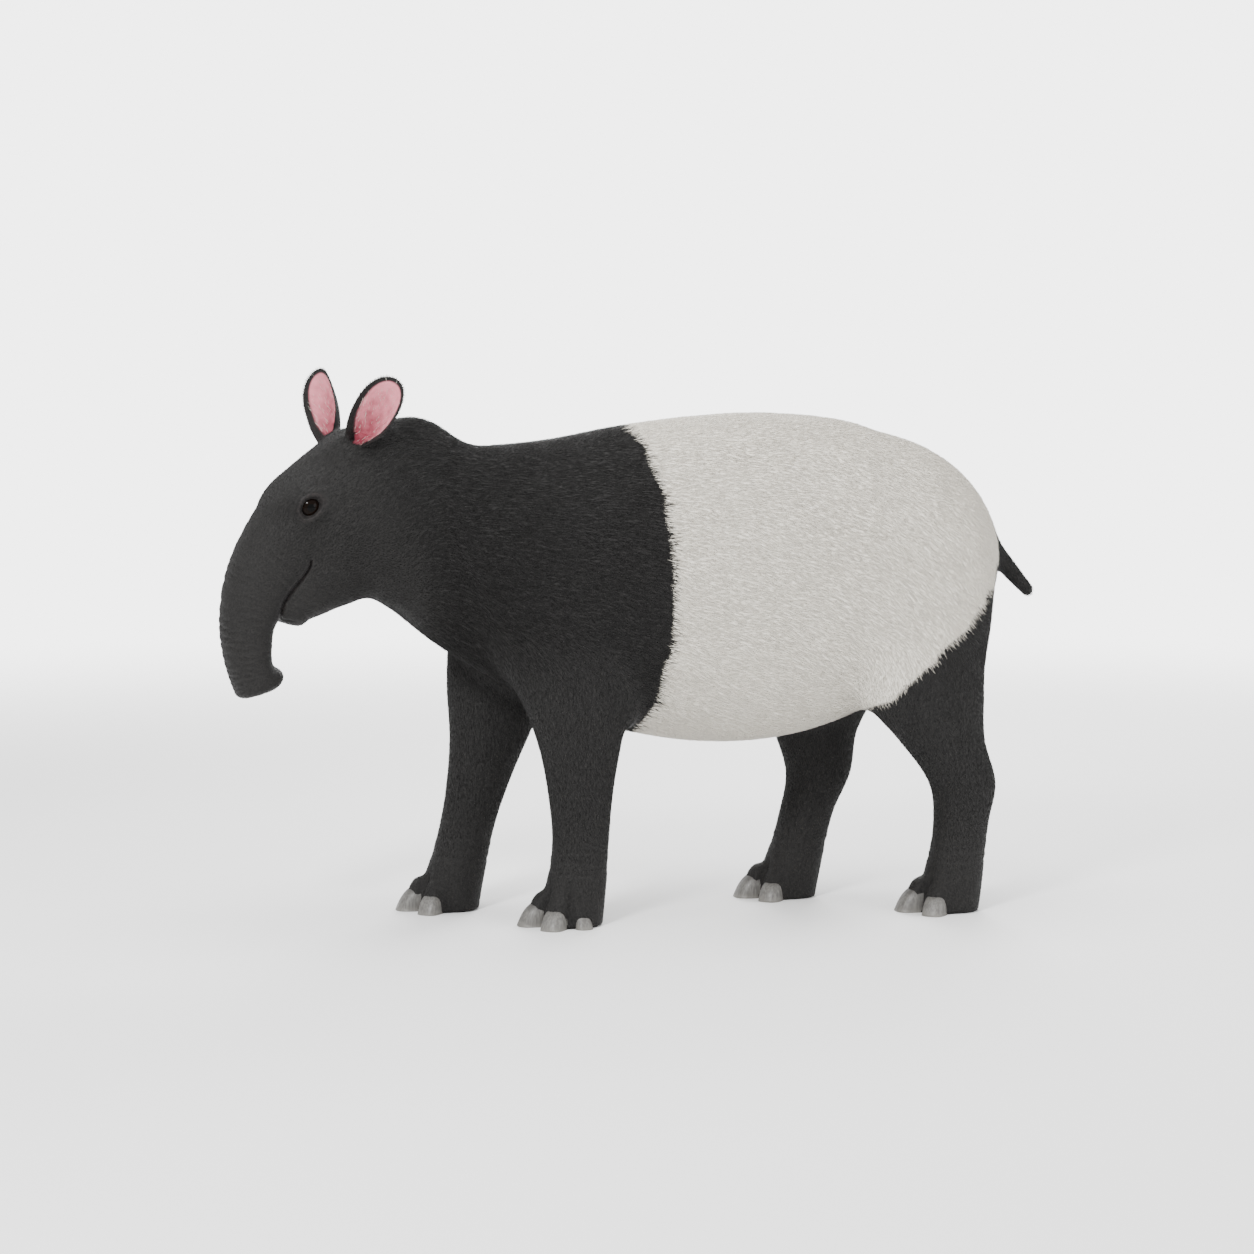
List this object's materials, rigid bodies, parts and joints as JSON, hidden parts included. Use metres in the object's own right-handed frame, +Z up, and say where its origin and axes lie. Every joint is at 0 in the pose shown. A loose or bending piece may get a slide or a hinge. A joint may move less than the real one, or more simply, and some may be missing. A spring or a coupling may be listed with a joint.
{
  "type": "malayan tapir",
  "caption": "Life-size Malayan tapir in a slow walk, head low and short trunk hanging, black with a white saddle round the body, oval cupped ears and blunt hooves.",
  "frame": {"origin": "on the floor, under the middle of the animal's box", "axes": "the animal faces -X, its left side faces -Y, +Z is up"},
  "size_m": [1.6649, 0.519, 1.0871],
  "materials": {
    "black_coat": "short, close black fur with a faint sheen",
    "white_coat": "short, close creamy white fur",
    "ear": "bare pink skin inside, black fur behind and along the rim",
    "horn": "light grey horn with fine growth lines",
    "eye": "wet, glossy dark brown"
  },
  "bodies": {
    "root": {"proboscis": "black_coat", "head": "black_coat", "ear_left": "ear", "ear_right": "ear", "eye_left": "eye", "eye_right": "eye", "neck": "black_coat", "shoulders": "black_coat", "barrel": "white_coat", "tail": "black_coat", "leg_fore_left": "black_coat", "foot_fore_left": "black_coat", "leg_fore_right": "black_coat", "foot_fore_right": "black_coat", "leg_hind_left": "black_coat", "foot_hind_left": "black_coat", "leg_hind_right": "black_coat", "foot_hind_right": "black_coat", "hoof_fore_left_inner": "horn", "hoof_fore_left_middle": "horn", "hoof_fore_left_outer": "horn", "hoof_fore_left_side": "horn", "hoof_fore_right_inner": "horn", "hoof_fore_right_middle": "horn", "hoof_fore_right_outer": "horn", "hoof_fore_right_side": "horn", "hoof_hind_left_inner": "horn", "hoof_hind_left_middle": "horn", "hoof_hind_left_outer": "horn", "hoof_hind_right_inner": "horn", "hoof_hind_right_middle": "horn", "hoof_hind_right_outer": "horn"}
  },
  "joints": []
}
